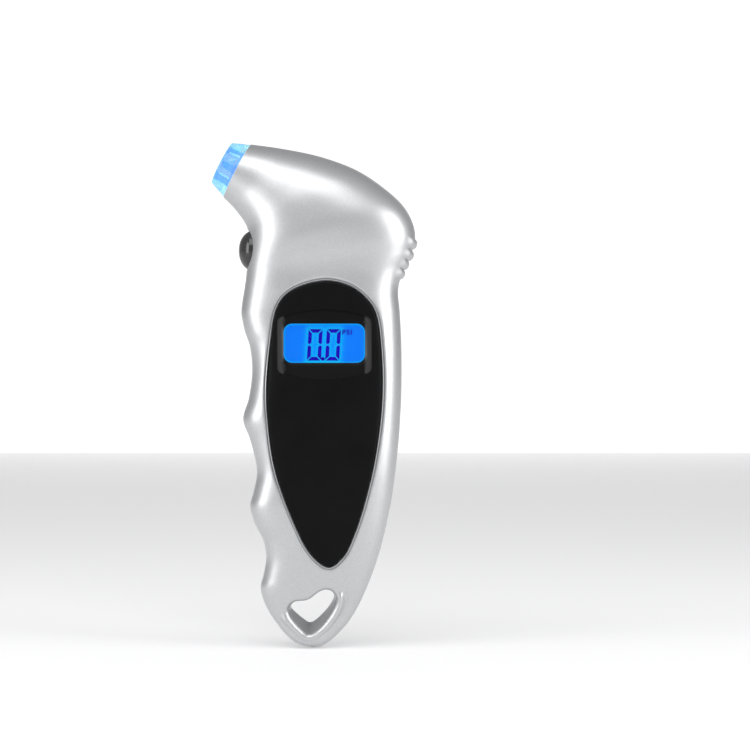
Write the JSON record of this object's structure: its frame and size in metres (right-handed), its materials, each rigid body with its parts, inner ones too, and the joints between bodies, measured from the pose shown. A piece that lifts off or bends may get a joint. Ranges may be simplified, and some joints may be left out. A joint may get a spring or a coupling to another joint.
{
  "type": "digital tire pressure gauge",
  "caption": "Pistol-grip digital tire pressure gauge with a lit angled nozzle, push button, backlit display in a black face panel, finger-grooved handle and lanyard opening.",
  "frame": {"origin": "centre of the bounding box's footprint, at the tail end of the grip", "axes": "+Z along the grip towards the head, -Y out of the display, -X towards the nozzle and the push button"},
  "size_m": [0.055, 0.027, 0.1349],
  "materials": {
    "silver_case": "satin silver paint over moulded plastic",
    "black_panel": "fine-grained matte black",
    "clear_lens": "clear display lens",
    "lcd_ink": "dark blue display figures",
    "lcd_blue": "blue backlit liquid-crystal glass",
    "light_guide": "milky light guide",
    "contact_rubber": "striped elastomer connector",
    "white_plastic": "white moulded plastic",
    "led_plastic": "clear blue-white lamp",
    "board_green": "green solder mask",
    "chip_black": "black epoxy",
    "parts_mixed": "small ceramic parts with tinned ends",
    "sensor_white": "pale sensor housing",
    "tube_silicone": "translucent silicone",
    "port_plastic": "dark moulded plastic",
    "sleeve_blue": "lit blue translucent plastic",
    "cap_clear": "clear plastic with a cyan glow",
    "seal_rubber": "soft dark rubber",
    "pin_metal": "plated valve pin",
    "wire_red": "insulated wire",
    "button_black": "high-gloss black",
    "switch_black": "black switch body",
    "cell_steel": "brushed cell can",
    "contact_metal": "plated spring metal",
    "screw_steel": "zinc-plated screw"
  },
  "bodies": {
    "case": {"front_shell": "silver_case", "rear_shell": "silver_case", "face_panel": "black_panel", "display_lens": "clear_lens", "lcd_figures": "lcd_ink", "lcd_glass": "lcd_blue", "light_guide": "light_guide", "contact_strip": "contact_rubber", "lcd_frame": "white_plastic", "backlight_led": "led_plastic", "circuit_board": "board_green", "controller_chip": "chip_black", "amplifier_chip": "chip_black", "board_parts": "parts_mixed", "pressure_sensor": "sensor_white", "air_tube": "tube_silicone", "pressure_port": "port_plastic", "chuck_sleeve": "sleeve_blue", "nozzle_cap": "cap_clear", "valve_seal": "seal_rubber", "depressor_pin": "pin_metal", "nozzle_leds": "led_plastic", "led_wires": "wire_red", "button_switch": "switch_black", "coin_cell": "cell_steel", "cell_contact": "contact_metal", "battery_wires": "wire_red", "case_screws": "screw_steel"},
    "button": {"button": "button_black", "switch_plunger": "sensor_white"},
    "battery_cover": {"battery_cover": "silver_case"},
    "cover_screw": {"cover_screw": "screw_steel"}
  },
  "joints": [
    {"name": "button_press", "type": "slide", "parent": "case", "child": "button", "axis": [1, 0, 0], "range_m": [0, 0.0006], "stiffness_N_per_m": 3000},
    {"name": "cover_lift", "type": "slide", "parent": "case", "child": "battery_cover", "axis": [0, 1, 0], "range_m": [0, 0.015]},
    {"name": "cover_screw_turn", "type": "hinge", "parent": "battery_cover", "child": "cover_screw", "pos_m": [0.003, 0, 0.0216], "axis": [0, -1, 0], "continuous": true}
  ]
}
